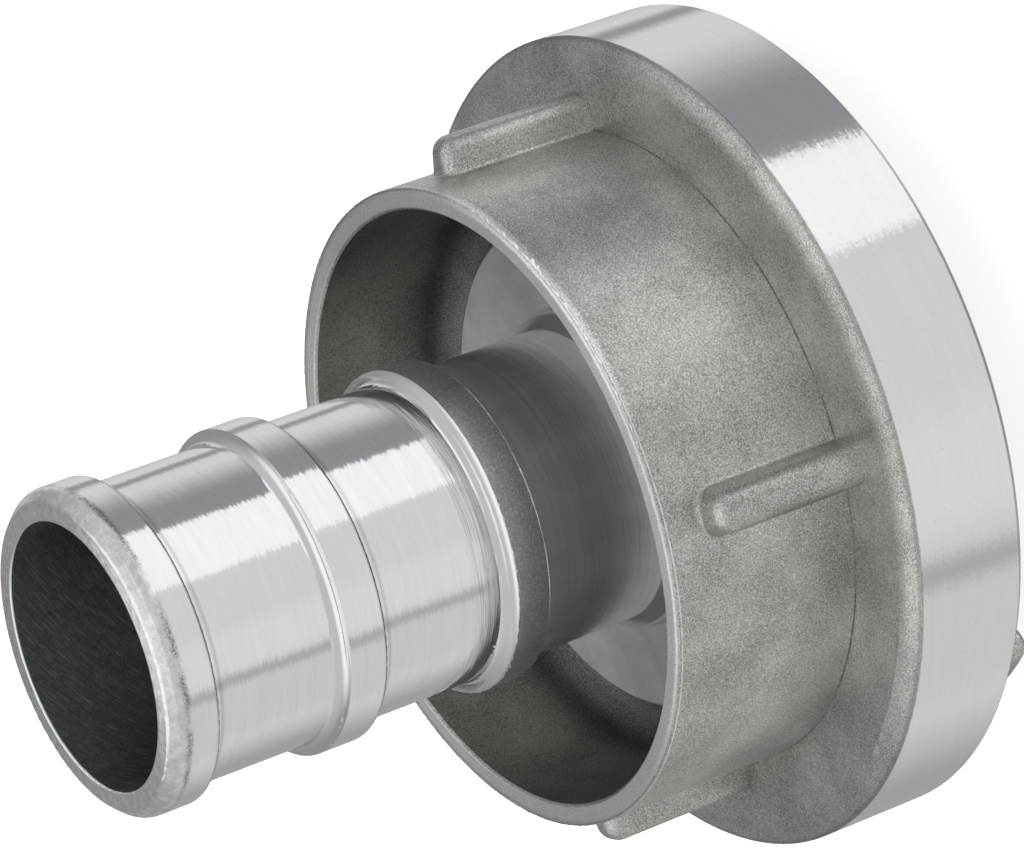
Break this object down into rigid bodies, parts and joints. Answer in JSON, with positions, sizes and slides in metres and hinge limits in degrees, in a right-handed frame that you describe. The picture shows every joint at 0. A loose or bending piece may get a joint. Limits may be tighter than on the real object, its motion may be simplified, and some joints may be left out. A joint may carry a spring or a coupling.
{
  "type": "quarter turn fire hose coupling",
  "caption": "Claw coupling half for fire hose: a cast ring with hooked claws and bayonet lips turns on a bored tail with hose beads and a rubber face seal.",
  "frame": {"origin": "on the waterway's axis, in the plane of the claw tips that the coupling stands on", "axes": "+Z along the waterway towards the hose end, +X through the middle of one claw"},
  "size_m": [0.098, 0.098, 0.103],
  "materials": {
    "cast_aluminium": "sand cast, with a turned band round the flange",
    "turned_aluminium": "bright turned, with fine rings from the tool",
    "seal_rubber": "moulded, matt",
    "spring_wire": "drawn spring wire"
  },
  "bodies": {
    "tail": {"hose_tail": "turned_aluminium", "sealing_ring": "seal_rubber", "snap_ring": "spring_wire"},
    "ring": {"claw_ring": "cast_aluminium"}
  },
  "joints": [
    {"name": "ring_swivel", "type": "hinge", "parent": "tail", "child": "ring", "pos_m": [0, 0, 0.025], "axis": [0, 0, 1], "continuous": true}
  ]
}
